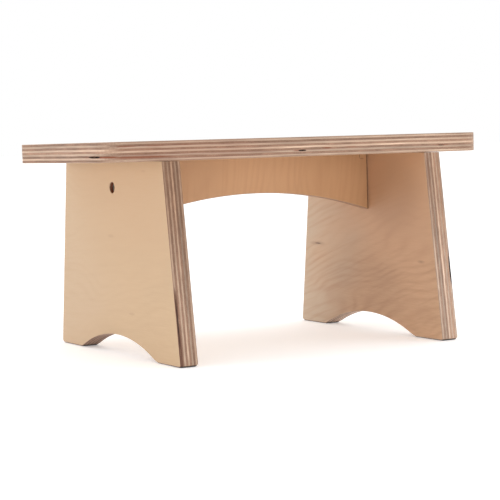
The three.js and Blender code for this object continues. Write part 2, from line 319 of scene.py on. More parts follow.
# ==== node graphs ============================================================
class Graph:
    """A material's node tree, with short calls that make nodes and join them."""

    def __init__(self, name):
        self.material = bpy.data.materials.new(name)
        self.material.use_nodes = True
        self.tree = self.material.node_tree
        self.shader = self.tree.nodes["Principled BSDF"]

    def put(self, socket, value):
        if isinstance(value, bpy.types.NodeSocket):
            self.tree.links.new(value, socket)
        else:
            socket.default_value = value

    def node(self, kind, inputs=(), **settings):
        made = self.tree.nodes.new(kind)
        for key, value in settings.items():
            setattr(made, key, value)
        for key, value in dict(inputs).items():
            self.put(made.inputs[key], value)
        return made

    def math(self, operation, *values, clamp=False):
        made = self.node("ShaderNodeMath", operation=operation, use_clamp=clamp)
        for socket, value in zip(made.inputs, values):
            self.put(socket, value)
        return made.outputs[0]

    def vector(self, operation, *values):
        made = self.node("ShaderNodeVectorMath", operation=operation)
        for socket, value in zip(made.inputs, values):
            self.put(socket, value)
        single = operation in ("LENGTH", "DOT_PRODUCT", "DISTANCE")
        return made.outputs["Value" if single else "Vector"]

    def split(self, vector):
        return self.node("ShaderNodeSeparateXYZ", {"Vector": vector}).outputs[:]

    def join(self, x, y, z):
        return self.node("ShaderNodeCombineXYZ", {"X": x, "Y": y, "Z": z}).outputs[0]

    def noise(self, vector, detail=2.0, roughness=0.5):
        made = self.node("ShaderNodeTexNoise", {"Vector": vector})
        made.inputs["Scale"].default_value = 1
        made.inputs["Detail"].default_value = detail
        made.inputs["Roughness"].default_value = roughness
        return made.outputs["Fac"]

    def pattern(self, place, pattern, shift=(0, 0, 0)):
        """A pattern's noise at a place in millimetres, moved along by shift marks."""
        marks = self.vector("ADD", self.vector("DIVIDE", place, pattern.size), shift)
        return self.noise(marks, pattern.detail, pattern.roughness)

    def ramp(self, value, low, high, to_low=0.0, to_high=1.0):
        """Maps low..high smoothly to to_low..to_high, held at both ends."""
        made = self.node("ShaderNodeMapRange", interpolation_type="SMOOTHSTEP")
        for socket, number in zip(made.inputs, (value, low, high, to_low, to_high)):
            self.put(socket, number)
        return made.outputs[0]

    def fade(self, share, low, high):
        """1 up to low, falling smoothly to 0 at high."""
        return self.ramp(share, low, high, 1.0, 0.0)

    # A Mix node's inputs: 0 is the share, 2 and 3 are the numbers, 6 and 7 the colours.
    def blend(self, share, first, second):
        """A number that goes from first to second with share."""
        made = self.node("ShaderNodeMix", {0: share, 2: first, 3: second}, data_type="FLOAT")
        return made.outputs[0]

    def tint(self, share, first, second):
        """A colour that goes from first to second with share."""
        made = self.node("ShaderNodeMix", {0: share, 6: first, 7: second}, data_type="RGBA")
        return made.outputs[2]

    def scaled(self, colour, factor):
        """A colour times a number."""
        return self.vector("MULTIPLY", colour, self.join(factor, factor, factor))

    def bump(self, height, strength, distance):
        inputs = {"Height": height, "Strength": strength, "Distance": distance}
        self.put(self.shader.inputs["Normal"], self.node("ShaderNodeBump", inputs).outputs[0])


def linear(red, green, blue):
    """A screen colour, 0 to 255, as the linear colour that shaders work in."""
    channels = []
    for value in (red, green, blue):
        share = value / 255
        channels.append(share / 12.92 if share <= 0.04045 else ((share + 0.055) / 1.055) ** 2.4)
    return (*channels, 1.0)


# ==== plywood, in millimetres ================================================
# A noise pattern: the size of its marks along each coordinate, its detail and
# roughness, how far a panel's seed moves it, and the noise values at which its
# marks begin and are full.
PATTERN_FIELDS = "size detail roughness seed_step band"
Pattern = namedtuple("Pattern", PATTERN_FIELDS, defaults=[2, 0.5, 0, (0.3, 0.7)])
PLY_DRIFT = Pattern((55, 55, 30), 1.5)
FIBRES = Pattern((34, 1.1, 0.55), 4, 0.62)
CLOUDS = Pattern((60, 18, 3), band=(0.25, 0.75))
PORES = Pattern((0.42, 0.42, 9), 3, 0.7, band=(0.32, 0.68))
RING_BENDS = Pattern((110, 60, 1), 1, 0.45, 3.1)
RING_PATCHES = Pattern((70, 28, 1), 2, 0.5, 5.3, (0.35, 0.65))
FLAMES = Pattern((60, 4.5, 1), 2, 0.5, 4.1, (0.48, 0.75))
FACE_FIBRES = Pattern((16, 0.8, 1), 4, 0.6, 7.7)
TICKS = Pattern((2.2, 0.16, 1), 1, 0.5, 1.7, (0.66, 0.76))
BROAD_TONES = Pattern((120, 55, 1), 1.5, 0.5, 2.3)
SPOT_WOBBLE = Pattern((2.5, 1.2, 1.2))

# The plies: the share of the panel that each face takes, how far they wander, how far the
# patterns move from ply to ply and with the seed, and the glue lines in shares of a ply.
FACE_PLY_SHARE = 0.034
PLY_DRIFT_DEPTH = 0.9
PLY_STEP = 37.7
SEED_STEP = 11.3
TONE_LIMIT = 2
CLOUD_TONES = (0.8, 1.14)
GLUE_LINE = (0.02, 0.09)
GLUE_STRENGTH = 0.45

# The veneer of the faces. Paler wood begins along the grain, sapwood tone and painted light
# from the bright room behind, and painted shade up it, each between two places, and a far
# face's own colour between two shares of the thickness.
RING_WIDTH = 1.7
RING_BENDING = 50
FAINT_RINGS = 0.25
TICK_STRENGTH = 0.25
BROAD_RANGE = (0.96, 1.04)
SAPWOOD_AND_BACK_LIGHT_WANDER = 160
SAPWOOD_AND_BACK_LIGHT_LIMITS = (-20, 120)
TOP_SHADE_HEIGHTS = (40, 165)
TOP_SHADE_WANDER = 0.5
VENEER_TOP_SHADE_SHARE = 0.9
SAPWOOD_AND_BACK_LIGHT_SPARED = 0.8
FAR_FACE_DEPTHS = (0.4, 0.6)
FAR_FACE_STRENGTH = 0.7

# How squarely a surface faces through the panel, from 0 on a cut edge to 1 on a face: where
# a face begins, where the painted highlight on an eased rim starts and ends, and where the
# marks of the edges fade out.
FACE_LIMITS = (0.80, 0.97)
RIM_START = (0.15, 0.5)
RIM_END = (0.8, 0.99)
RIM_HIGHLIGHT_STRENGTH = 0.12
STAIN_AND_SHADE_LIMITS = (0.6, 0.95)
EDGE_LIMITS = (0.3, 0.9)

# marks, painted shade in gaps and along the soles, and finish: cores and rims are shares of a spot
SPOT_CORE = 0.35
SPOT_SHAKE = 0.6
GAP_RIM = 1.2
HOLLOW_RIM = 0.12
SOLE_SHADOW_HEIGHT = 0.35
SOLE_SHADOW_STREAKS = 1.2
SOLE_SHADOW_FADE = 1.1
SOLE_SHADOW_STRENGTH = 0.95
FACE_ROUGHNESS = (0.47, 0.56)
END_GRAIN_ROUGHNESS = 0.14
WOOD_SPECULAR = 0.35
GLUE_RELIEF = 1.2
TICK_RELIEF = 0.5
WOOD_BUMP = 0.35
WOOD_BUMP_DEPTH = 0.12 * MM

PLY_COLOURS = {
    "long_light": linear(194, 166, 143),
    "long_dark": linear(160, 131, 110),
    "end_light": linear(158, 124, 102),
    "end_dark": linear(116, 87, 69),
    "glue": linear(110, 72, 52),
    # knots, and painted shade in broad faint patches and joint lines
    "knot": linear(84, 56, 40),
    # stains, and painted shade in broad patches
    "stain": linear(94, 56, 38),
    # stain and painted shade in the counterbores
    "bore": linear(132, 56, 30),
    # painted shade inside the open gaps and round their mouths
    "hollow": linear(40, 22, 16),
    # painted contact shadow along the edges that stand on the floor
    "sole_shadow": linear(26, 20, 17),
}
BOARD_COLOURS = PLY_COLOURS | {
    "face_light": linear(206, 177, 143),
    "face_dark": linear(200, 169, 134),
    "ring": linear(180, 146, 112),
    "sapwood_and_back_light": linear(205, 178, 147),
    # stains, and painted shade on the front edge
    "stain": linear(122, 62, 36),
}
LEFT_COLOURS = PLY_COLOURS | {
    "face_light": linear(184, 156, 124),
    "face_dark": linear(179, 150, 117),
    "ring": linear(164, 134, 103),
    "sapwood_and_back_light": linear(182, 155, 126),
    # painted shade of the face higher up, under the board
    "veneer_top_shade": linear(181, 149, 116),
}
# The right leg's inner face, at z = 0, is brighter and more orange than its far, outer face: the
# veneer's own tone, and painted warm bounce light where it stands in the shade under the board.
RIGHT_COLOURS = PLY_COLOURS | {
    "face_light": linear(206, 167, 134),
    "face_dark": linear(197, 157, 123),
    "ring": linear(165, 122, 92),
    # paler back of the inner face: sapwood tone and painted light from the bright room behind
    "sapwood_and_back_light": linear(187, 165, 142),
    # painted shade of the face higher up, under the board
    "veneer_top_shade": linear(202, 160, 127),
    "far_face": linear(187, 156, 124),
    "long_light": linear(189, 166, 147),
    "long_dark": linear(154, 129, 111),
    "end_light": linear(151, 122, 103),
    "end_dark": linear(111, 86, 71),
}
# More orange than the legs: the wood's own tone, and painted warm bounce light under the board.
STRETCHER_COLOURS = PLY_COLOURS | {
    "face_light": linear(192, 150, 111),
    "face_dark": linear(187, 144, 105),
    "ring": linear(168, 123, 86),
    "sapwood_and_back_light": linear(190, 147, 108),
    "end_light": linear(170, 122, 86),
    "end_dark": linear(142, 98, 68),
}

# An ellipsoid in the bench's frame. A gap is also turned about X by tilt degrees, and a
# stain, knot or patch of painted shade has a strength from 0 to 1.
Spot = namedtuple("Spot", "centre half_size tilt strength", defaults=[0, 1])
# What one panel's wood looks like. Tones holds a factor for each ply, from the face at
# z = 0 to the other. Figure is how strongly rings and flames show, and lean how far they
# slant. Edge top shade is how painted shade and warm bounce light colour the edges higher
# up, where there is any. A large, faint knot is painted shade, a darker patch of the face.
LOOK_FIELDS = "seed colours tones figure lean patina gaps stains knots"
Look = namedtuple("Look", LOOK_FIELDS, defaults=[None, (), (), ()])


def own_spots(home, spots):
    """The spots' centres, half sizes and strengths in a panel's own frame."""
    turn = home.to_3x3().inverted()
    found = []
    for spot in spots:
        middle = home.inverted() @ (Vector(spot.centre) * MM)
        size = turn @ Vector(spot.half_size)
        found.append((tuple(middle / MM), tuple(abs(s) for s in size), spot.strength))
    return found


def gap_mouths(gaps):
    """Painted shade in the mouths of gaps: a little wider than the gaps, and deep enough to lean
    with them.
    """
    mouths = []
    for gap in gaps:
        width, depth, height = gap.half_size
        deep = depth + height * abs(math.tan(math.radians(gap.tilt)))
        mouths.append(Spot(gap.centre, (width * GAP_RIM, deep * GAP_RIM, height * GAP_RIM)))
    return mouths


class Plywood(Graph):
    """Plywood that shows its plies at every cut edge.

    The piece's own axes are its material axes: X along the grain of the faces,
    Y across it and Z through the thickness, from 0 at one face. Faces and odd
    plies have their grain along X, the even plies between them along Y.
    """

    def __init__(self, name, thickness, home, look, bores=(), on_floor=False):
        super().__init__(name)
        self.thickness = thickness / MM
        self.home = home
        self.look = look
        self.colours = look.colours
        coordinates = self.node("ShaderNodeTexCoord").outputs
        self.place = self.vector("MULTIPLY", coordinates["Object"], (1 / MM, 1 / MM, 1 / MM))
        self.x, self.y, self.z = self.split(self.place)
        away = self.vector("ABSOLUTE", coordinates["Normal"])
        self.away_x, self.away_y, self.away_z = self.split(away)
        self.find_plies()
        self.draw_fibres()
        edge = self.edge_colour()
        veneer = self.veneer_colour()
        # painted shade and warm bounce light: edges and veneer darker higher up, under the board
        if look.patina:
            edge, veneer = self.shaded_higher_up(edge, veneer)
        if "far_face" in self.colours:
            depths = [share * self.thickness for share in FAR_FACE_DEPTHS]
            far = self.ramp(self.z, *depths, 0.0, FAR_FACE_STRENGTH)
            veneer = self.tint(far, veneer, self.colours["far_face"])
        colour = self.tint(self.on_face, edge, veneer)
        # painted highlight: eased rims tinted towards the pale long grain
        rim_highlight = self.ramp(self.away_z, *RIM_START)
        rim_highlight = self.math("MULTIPLY", rim_highlight, self.fade(self.away_z, *RIM_END))
        rim_highlight = self.math("MULTIPLY", rim_highlight, RIM_HIGHLIGHT_STRENGTH)
        colour = self.tint(rim_highlight, colour, self.colours["long_light"])
        colour = self.marked(colour, bores)
        # painted contact shadow along the sole edges
        if on_floor:
            colour = self.painted_sole_shadow(colour)
        self.put(self.shader.inputs["Base Color"], colour)
        self.set_surface()

    def find_plies(self):
        """Which ply a point is in, how far through it, and whether the surface cuts its grain."""
        inner_plies = len(self.look.tones) - 2
        pitch = (1 - 2 * FACE_PLY_SHARE) / inner_plies * self.thickness
        drift = self.math("SUBTRACT", self.pattern(self.place, PLY_DRIFT), 0.5)
        waved = self.math("MULTIPLY_ADD", drift, PLY_DRIFT_DEPTH, self.z)
        inside = self.math("SUBTRACT", waved, FACE_PLY_SHARE * self.thickness)
        depth = self.math("DIVIDE", inside, pitch)
        ply = self.math("MAXIMUM", self.math("FLOOR", depth), -1)
        self.ply = self.math("MINIMUM", ply, inner_plies)
        self.through = self.math("SUBTRACT", depth, self.ply)
        self.odd = self.math("FLOORED_MODULO", self.ply, 2)
        self.end_grain = self.math("POWER", self.blend(self.odd, self.away_y, self.away_x), 2)
        self.on_face = self.ramp(self.away_z, *FACE_LIMITS)

    def draw_fibres(self):
        """The fine patterns that both the colour and the relief follow."""
        along = self.blend(self.odd, self.y, self.x)
        across = self.blend(self.odd, self.x, self.y)
        shuffle = self.math("MULTIPLY_ADD", self.ply, PLY_STEP, self.look.seed * SEED_STEP)
        apart = self.join(shuffle, shuffle, 0)
        self.streaks = self.pattern(self.join(along, across, self.z), FIBRES, apart)
        self.clouds = self.pattern(self.join(along, across, shuffle), CLOUDS)
        self.pores = self.pattern(self.join(across, self.z, along), PORES)
        self.face_fibres = self.face_pattern(self.y, FACE_FIBRES)
        self.ticks = self.ramp(self.face_pattern(self.y, TICKS), *TICKS.band)
        near = self.math("MINIMUM", self.through, self.math("SUBTRACT", 1.0, self.through))
        self.glue = self.math("MULTIPLY", self.fade(near, *GLUE_LINE), GLUE_STRENGTH)

    def face_pattern(self, y, pattern):
        """A pattern on the faces, different for each seed."""
        return self.pattern(self.join(self.x, y, self.look.seed * pattern.seed_step), pattern)

    def ply_tone(self):
        """The factor of the ply at hand: each has its own stop, read at its middle."""
        tones = self.look.tones
        made = self.node("ShaderNodeValToRGB")
        ramp = made.color_ramp
        ramp.interpolation = "CONSTANT"
        while len(ramp.elements) < len(tones):
            ramp.elements.new(0.99)
        for i, (stop, tone) in enumerate(zip(ramp.elements, tones)):
            stop.position = i / len(tones)
            stop.color = (*[tone / TONE_LIMIT] * 3, 1)
        self.put(made.inputs[0], self.math("DIVIDE", self.math("ADD", self.ply, 1.5), len(tones)))
        return self.math("MULTIPLY", made.outputs[0], TONE_LIMIT)

    def edge_colour(self):
        """Long grain and end grain of the plies in turn, with the glue lines between them."""
        pale = self.ramp(self.streaks, *FIBRES.band)
        pale = self.tint(pale, self.colours["long_dark"], self.colours["long_light"])
        dark = self.ramp(self.pores, *PORES.band)
        dark = self.tint(dark, self.colours["end_dark"], self.colours["end_light"])
        edge = self.scaled(self.tint(self.end_grain, pale, dark), self.ply_tone())
        edge = self.scaled(edge, self.ramp(self.clouds, *CLOUDS.band, *CLOUD_TONES))
        return self.tint(self.glue, edge, self.colours["glue"])

    def veneer_colour(self):
        """The rotary-cut veneer of the faces: growth rings, flames, fibres and fine ticks."""
        ring = self.colours["ring"]
        slanted = self.math("MULTIPLY_ADD", self.x, self.look.lean, self.y)
        bend = self.face_pattern(self.y, RING_BENDS)
        rings = self.math("DIVIDE", slanted, RING_WIDTH)
        rings = self.math("MULTIPLY_ADD", bend, RING_BENDING, rings)
        rings = self.math("MULTIPLY_ADD", self.math("SINE", rings), 0.5, 0.5)
        rings = self.math("POWER", rings, 2)
        patches = self.face_pattern(self.y, RING_PATCHES)
        patches = self.ramp(patches, *RING_PATCHES.band, FAINT_RINGS, 1.0)
        rings = self.math("MULTIPLY", rings, patches)
        flames = self.ramp(self.face_pattern(slanted, FLAMES), *FLAMES.band)
        broad = self.face_pattern(self.y, BROAD_TONES)
        self.wander = self.math("MULTIPLY", self.math("SUBTRACT", broad, 0.5), SAPWOOD_AND_BACK_LIGHT_WANDER)
        # paler towards the back: sapwood tone, and painted light from the bright room behind
        self.sapwood_and_back_light = self.ramp(self.math("ADD", self.x, self.wander), *SAPWOOD_AND_BACK_LIGHT_LIMITS)
        veneer = self.ramp(self.face_fibres, *FACE_FIBRES.band)
        veneer = self.tint(veneer, self.colours["face_dark"], self.colours["face_light"])
        veneer = self.scaled(veneer, self.ramp(broad, *BROAD_TONES.band, *BROAD_RANGE))
        veneer = self.tint(self.sapwood_and_back_light, veneer, self.colours["sapwood_and_back_light"])
        veneer = self.tint(self.math("MULTIPLY", rings, self.look.figure), veneer, ring)
        veneer = self.tint(self.math("MULTIPLY", flames, self.look.figure), veneer, ring)
        return self.tint(self.math("MULTIPLY", self.ticks, TICK_STRENGTH), veneer, ring)

    def shaded_higher_up(self, edge, veneer):
        """Darker higher up: painted shade and warm bounce under the board, on the veneer and the
        edges.
        """
        height = self.math("ADD", self.y, self.math("MULTIPLY", self.wander, TOP_SHADE_WANDER))
        veneer_top_shade = self.math("MULTIPLY_ADD", self.sapwood_and_back_light, -SAPWOOD_AND_BACK_LIGHT_SPARED, VENEER_TOP_SHADE_SHARE)
        veneer_top_shade = self.math("MULTIPLY", self.ramp(height, *TOP_SHADE_HEIGHTS), veneer_top_shade)
        veneer = self.tint(veneer_top_shade, veneer, self.colours["veneer_top_shade"])
        shaded_edge = self.vector("MULTIPLY", edge, self.look.patina)
        return self.tint(self.ramp(self.y, *TOP_SHADE_HEIGHTS), edge, shaded_edge), veneer

    def spot_mask(self, place, spots):
        """Each ellipsoid spot's strength at its heart and 0 outside, with soft rims."""
        mask = 0.0
        for centre, half_size, strength in own_spots(self.home, spots):
            away = self.vector("DIVIDE", self.vector("SUBTRACT", place, centre), half_size)
            one = self.ramp(self.vector("LENGTH", away), SPOT_CORE, 1.0, strength, 0.0)
            mask = self.math("MAXIMUM", mask, one)
        return mask

    def marked(self, colour, bores):
        """Stains, knots and patches of painted shade, bores darkened by stain and painted shade,
        and painted shade in open gaps.
        """
        wobble = self.math("SUBTRACT", self.pattern(self.place, SPOT_WOBBLE), 0.5)
        wobble = self.math("MULTIPLY", wobble, SPOT_SHAKE)
        shaken = self.vector("ADD", self.place, self.join(wobble, wobble, wobble))
        stained_and_shaded = self.spot_mask(shaken, self.look.stains)
        stained_and_shaded = self.math("MULTIPLY", stained_and_shaded, self.fade(self.away_z, *STAIN_AND_SHADE_LIMITS))
        colour = self.tint(stained_and_shaded, colour, self.colours["stain"])
        colour = self.tint(self.spot_mask(shaken, self.look.knots), colour, self.colours["knot"])
        bored = self.spot_mask(self.place, bores)
        bored = self.math("MULTIPLY", bored, self.fade(self.away_z, *EDGE_LIMITS))
        colour = self.tint(bored, colour, self.colours["bore"])
        # painted shade inside the open gaps
        hollow = self.spot_mask(self.place, gap_mouths(self.look.gaps))
        return self.tint(self.ramp(hollow, 0.0, HOLLOW_RIM), colour, self.colours["hollow"])

    def painted_sole_shadow(self, colour):
        """Painted contact shadow on the edge that stands on the floor, reaching up a little way in
        streaks.
        """
        shadow_top = self.math("MULTIPLY_ADD", self.streaks, SOLE_SHADOW_STREAKS, SOLE_SHADOW_HEIGHT)
        sole_shadow = self.fade(self.y, shadow_top, self.math("ADD", shadow_top, SOLE_SHADOW_FADE))
        on_edge = self.ramp(self.away_z, *EDGE_LIMITS, SOLE_SHADOW_STRENGTH, 0.0)
        return self.tint(self.math("MULTIPLY", sole_shadow, on_edge), colour, self.colours["sole_shadow"])

    def set_surface(self):
        rough = self.ramp(self.face_fibres, *FACE_FIBRES.band, *FACE_ROUGHNESS)
        rough = self.math("MULTIPLY_ADD", self.end_grain, END_GRAIN_ROUGHNESS, rough)
        self.put(self.shader.inputs["Roughness"], rough)
        self.shader.inputs["Specular IOR Level"].default_value = WOOD_SPECULAR
        relief = self.blend(self.end_grain, self.streaks, self.pores)
        relief = self.blend(self.on_face, relief, self.face_fibres)
        relief = self.math("SUBTRACT", relief, self.math("MULTIPLY", self.glue, GLUE_RELIEF))
        relief = self.math("SUBTRACT", relief, self.math("MULTIPLY", self.ticks, TICK_RELIEF))
        self.bump(relief, WOOD_BUMP, WOOD_BUMP_DEPTH)


# ==== the other materials ====================================================
# marks to a metre along each axis
DOWEL_FIBRES = (1800, 1800, 60)
DOWEL_FLECKS = (2600, 2600, 500)
TURNING_MARKS = (300, 300, 9000)
STEEL_BLOTCHES = (420, 420, 420)
FLOOR_MOTTLES = (3, 3, 3)

# the noise values at which marks begin and are full
NOISE_BAND = (0.3, 0.7)
FLECK_BAND = (0.62, 0.72)
TARNISH_BAND = (0.35, 0.7)

FLECK_STRENGTH = 0.6
DOWEL_COLOURS = (linear(196, 160, 120), linear(228, 198, 158))
FLECK_COLOUR = linear(142, 100, 66)
DOWEL_ROUGHNESS = (0.62, 0.78)
STEEL_COLOURS = (linear(150, 142, 128), linear(80, 74, 66))
STEEL_ROUGHNESS = (0.42, 0.6)
FLOOR_COLOURS = (linear(250, 250, 250), linear(253, 253, 253))
FLOOR_ROUGHNESS = 0.9
FLOOR_SPECULAR = 0.1
WHITE = (1, 1, 1, 1)


def dowel_wood():
    """Turned beech: fine long fibres and short dark flecks along the dowel."""
    graph = Graph("turned_dowel_beech")
    place = graph.node("ShaderNodeTexCoord").outputs["Object"]
    fibre = graph.noise(graph.vector("MULTIPLY", place, DOWEL_FIBRES), detail=3, roughness=0.6)
    fleck = graph.noise(graph.vector("MULTIPLY", place, DOWEL_FLECKS), detail=1)
    fleck = graph.ramp(fleck, *FLECK_BAND, 0.0, FLECK_STRENGTH)
    colour = graph.tint(graph.ramp(fibre, *NOISE_BAND), *DOWEL_COLOURS)
    colour = graph.tint(fleck, colour, FLECK_COLOUR)
    graph.put(graph.shader.inputs["Base Color"], colour)
    graph.put(graph.shader.inputs["Roughness"], graph.ramp(fibre, *NOISE_BAND, *DOWEL_ROUGHNESS))
    graph.bump(fibre, strength=0.3, distance=0.1 * MM)
    return graph.material


def screw_steel():
    """Zinc-plated steel, turned, with dirt where it isn't rubbed."""
    graph = Graph("plated_screw_steel")
    place = graph.node("ShaderNodeTexCoord").outputs["Object"]
    turning = graph.noise(graph.vector("MULTIPLY", place, TURNING_MARKS), detail=2)
    blotch = graph.noise(graph.vector("MULTIPLY", place, STEEL_BLOTCHES), detail=3)
    colour = graph.tint(graph.ramp(blotch, *TARNISH_BAND), *STEEL_COLOURS)
    graph.put(graph.shader.inputs["Base Color"], colour)
    graph.put(graph.shader.inputs["Roughness"], graph.ramp(blotch, *NOISE_BAND, *STEEL_ROUGHNESS))
    graph.shader.inputs["Metallic"].default_value = 1.0
    graph.bump(turning, strength=0.2, distance=0.05 * MM)
    return graph.material


# ==== pieces =================================================================
def finish_piece(piece, material, slot, *nodes):
    piece.data.materials.clear()
    piece.data.materials.append(material)
    smooth(piece)
    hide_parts(*nodes)
    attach(piece, "root")


def lie_of(node):
    """How a long node lies: its axis, 0 to 2, its middle, half its length and half its width."""
    low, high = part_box(node)
    size = high - low
    axis = max(range(3), key=lambda i: size[i])
    return axis, (low + high) / 2, size[axis] / 2, size[(axis + 1) % 3] / 2


def axis_matrix(axis, middle):
    """Places a piece made along Z so that it lies along the given axis."""
    turns = {
        0: Matrix.Rotation(math.pi / 2, 4, "Y"),
        1: Matrix.Rotation(-math.pi / 2, 4, "X"),
        2: Matrix.Identity(4),
    }
    return Matrix.Translation(middle) @ turns[axis]


def dowel_drill(node, home):
    """A cutter for the hole round a dowel, in the drilled piece's own frame."""
    axis, middle, half, dowel_radius = lie_of(node)
    radius = dowel_radius + DRILL_ROOM
    reach = half + DRILL_END_ROOM
    profile = [(0, -reach), (radius, -reach), (radius, reach), (0, reach)]
    mesh = finished_mesh(turned(profile, DRILL_SIDES), "drill")
    mesh.transform(home.inverted() @ axis_matrix(axis, middle))
    return mesh


def screw_drill(side, home):
    """A cutter for the counterbore, the clearance hole and the pilot hole of one screw."""
    low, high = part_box(f"{side}_screw")
    leg_low, leg_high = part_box(f"{side}_leg")
    length = high.x - low.x
    recess = (low.x - leg_low.x) if side == "left" else (leg_high.x - high.x)
    flare = COUNTERBORE_FLARE
    seat = recess + HEAD_HEIGHT + DRILL_ROOM
    narrow = SHANK_RADIUS + DRILL_ROOM
    end = recess + length + DRILL_END_ROOM
    profile = [
        (0, -flare),
        (COUNTERBORE_RADIUS + 2 * flare, -flare),
        (COUNTERBORE_RADIUS, flare),
        (COUNTERBORE_RADIUS, seat),
        (narrow, seat),
        (narrow, end),
        (0, end),
    ]
    mesh = finished_mesh(turned(profile, DRILL_SIDES), "drill")
    outer = leg_low.x if side == "left" else leg_high.x
    middle = Vector((outer, (low.y + high.y) / 2, (low.z + high.z) / 2))
    inward = Matrix.Rotation(-SIDES[side] * math.pi / 2, 4, "Y")
    mesh.transform(home.inverted() @ Matrix.Translation(middle) @ inward)
    return mesh


def gap_cutter(home, gap):
    """A lens-shaped hollow in the plies, in the panel's own frame, from its place in the bench."""
    ball = bmesh.new()
    bmesh.ops.create_uvsphere(ball, u_segments=GAP_SIDES, v_segments=GAP_RINGS, radius=1)
    for vertex in ball.verts:
        vertex.co *= 1 + GAP_LUMPS * noise.noise(vertex.co * LUMPS_ACROSS + Vector(gap.centre))
    mesh = finished_mesh(ball, "gap")
    size = Matrix.Scale(MM, 4) @ Matrix.Diagonal((*gap.half_size, 1))
    turn = Matrix.Rotation(math.radians(gap.tilt), 4, "X")
    mesh.transform(home.inverted() @ Matrix.Translation(Vector(gap.centre) * MM) @ turn @ size)
    return mesh


def nodes_with(*words):
    return [n for n in sorted(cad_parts) if all(word in n for word in words)]


def frame_of(origin, along, up):
    """A placing matrix whose X runs along the face grain and whose Z goes through the panel."""
    across = up.cross(along)
    turn = Matrix((along, across, up)).transposed().to_4x4()
    return Matrix.Translation(origin) @ turn


# ---- how each panel looks, with its marks placed in the bench's frame --------
BOARD_LOOK = Look(
    seed=3,
    colours=BOARD_COLOURS,
    tones=(1.0, 0.94, 1.08, 0.85, 1.02, 1.25, 1.12, 0.97, 0.87, 0.94, 1.0),
    figure=0.2,
    lean=0.1,
    gaps=[
        Spot((-205, -79, 186.9), (2.0, 11, 0.8)),
        Spot((-5, -104, 187.5), (4, 1.5, 0.7)),
        Spot((154, -104, 188.4), (3, 1.2, 0.4)),
        Spot((64, 104, 193.4), (7, 1.5, 0.6)),
    ],
    stains=[
        Spot((-200, -90, 186.7), (14, 48, 1.3), strength=0.9),
        Spot((-186, -104, 195.8), (15, 6, 1.1), strength=0.6),
        Spot((-156, -104, 195.9), (16, 4, 1.0), strength=0.5),
        Spot((-128, -104, 196.2), (16, 4, 1.0), strength=0.45),
        Spot((-172, -104, 186.3), (50, 8, 1.6), strength=0.8),
        Spot((-118, -104, 190.6), (50, 4, 1.2), strength=0.3),
        # painted shade: a broad darkening of the front edge's left half
        Spot((-120, -104, 191.0), (120, 6, 16), strength=0.22),
        Spot((-8, -104, 187.5), (10, 4, 1.0), strength=0.7),
        Spot((22, -104, 189.2), (7, 4, 0.8), strength=0.8),
        Spot((48, -104, 189.6), (10, 4, 0.8), strength=0.4),
        Spot((102, -104, 190.0), (12, 4, 0.8), strength=0.3),
        Spot((155, -104, 188.5), (12, 4, 0.9), strength=0.6),
        Spot((92, 104, 189.6), (16, 4, 0.9), strength=0.6),
    ],
)
LEG_LOOKS = {
    "left": Look(
        seed=5,
        colours=LEFT_COLOURS,
        tones=(1.0, 1.0, 1.1, 0.98, 1.12, 1.15, 1.08, 0.76, 0.95, 0.98, 1.0),
        figure=0.1,
        lean=0.08,
        # painted shade and warm bounce on the edges higher up
        patina=(0.68, 0.59, 0.51),
        gaps=[Spot((-150.1, -122.9, 41), (0.35, 1.3, 26), -7.5)],
        stains=[
            Spot((-150.1, -123, 8), (2.5, 30, 72), strength=0.95),
            Spot((-150.1, -121, 54), (2.3, 20, 24), strength=0.95),
            # painted shade under the far foot's arch and at its end
            Spot((-142.5, 64, 6), (22, 52, 20), strength=0.45),
        ],
        knots=[
            Spot((-151.5, 6, 112), (2, 9, 2.2), strength=0.1),
            Spot((-151.5, -34, 41), (2, 8, 2), strength=0.12),
            Spot((-151.5, -67, 173), (2, 6, 1.6), strength=0.08),
        ],
    ),
    "right": Look(
        seed=8,
        colours=RIGHT_COLOURS,
        tones=(1.2, 1.1, 1.34, 0.86, 1.2, 1.5, 1.7, 1.08, 1.7, 1.02, 1.12),
        figure=0.28,
        lean=0.3,
        # painted shade and warm bounce on the edges higher up
        patina=(0.78, 0.70, 0.63),
        gaps=[Spot((150.6, -119.4, 69), (0.9, 1.4, 15), -7.5)],
        stains=[
            Spot((151.2, -119.4, 74), (1.9, 12, 30)),
            Spot((136.2, -108, 162), (2.6, 20, 28), strength=0.4),
        ],
        knots=[
            Spot((133.5, 92, 86), (0.8, 9, 0.9), strength=0.9),
            Spot((133.5, 93.5, 86), (2, 20, 3), strength=0.2),
            Spot((133.5, -95, 75), (0.6, 4, 1.2), strength=0.35),
            Spot((133.5, -95, 75), (2, 8, 2.4), strength=0.2),
            # painted shade: broad, faint darker patches of the inner face
            Spot((133.5, 10, 38), (4, 95, 66), strength=0.12),
            Spot((133.5, -50, 140), (4, 60, 50), strength=0.14),
        ],
    ),
}
STRETCHER_LOOK = Look(
    seed=12,
    colours=STRETCHER_COLOURS,
    tones=(1.0, 1.0, 0.96, 1.02, 1.1, 1.0, 0.96, 1.0, 1.0),
    figure=0.2,
    lean=0.1,
    knots=[
        Spot((124, -6, 179.5), (0.7, 0.5, 3.2), strength=0.6),
        Spot((126.5, -6, 176.5), (3.5, 0.5, 0.7), strength=0.4),
        # painted shade: a broad, faint darker patch on the left of the face
        Spot((-90, -6, 165), (80, 3, 50), strength=0.12),
    ],
)
# Painted shadow in the joint: the dark line where the stretcher's face meets a leg, painted as a
# tall knot.
JOINT_LINE_HEIGHT = 153
JOINT_LINE_SIZE = (1.5, 2.0, 80)
JOINT_LINE_STRENGTH = 0.9
# The darkened wood round a screw's counterbore, stain and painted shade in the recess, its heart
# this far under the leg's face.
BORE_STAIN_AND_SHADE_DEPTH = 5
BORE_STAIN_AND_SHADE_SIZE = (5.4, 14, 14)


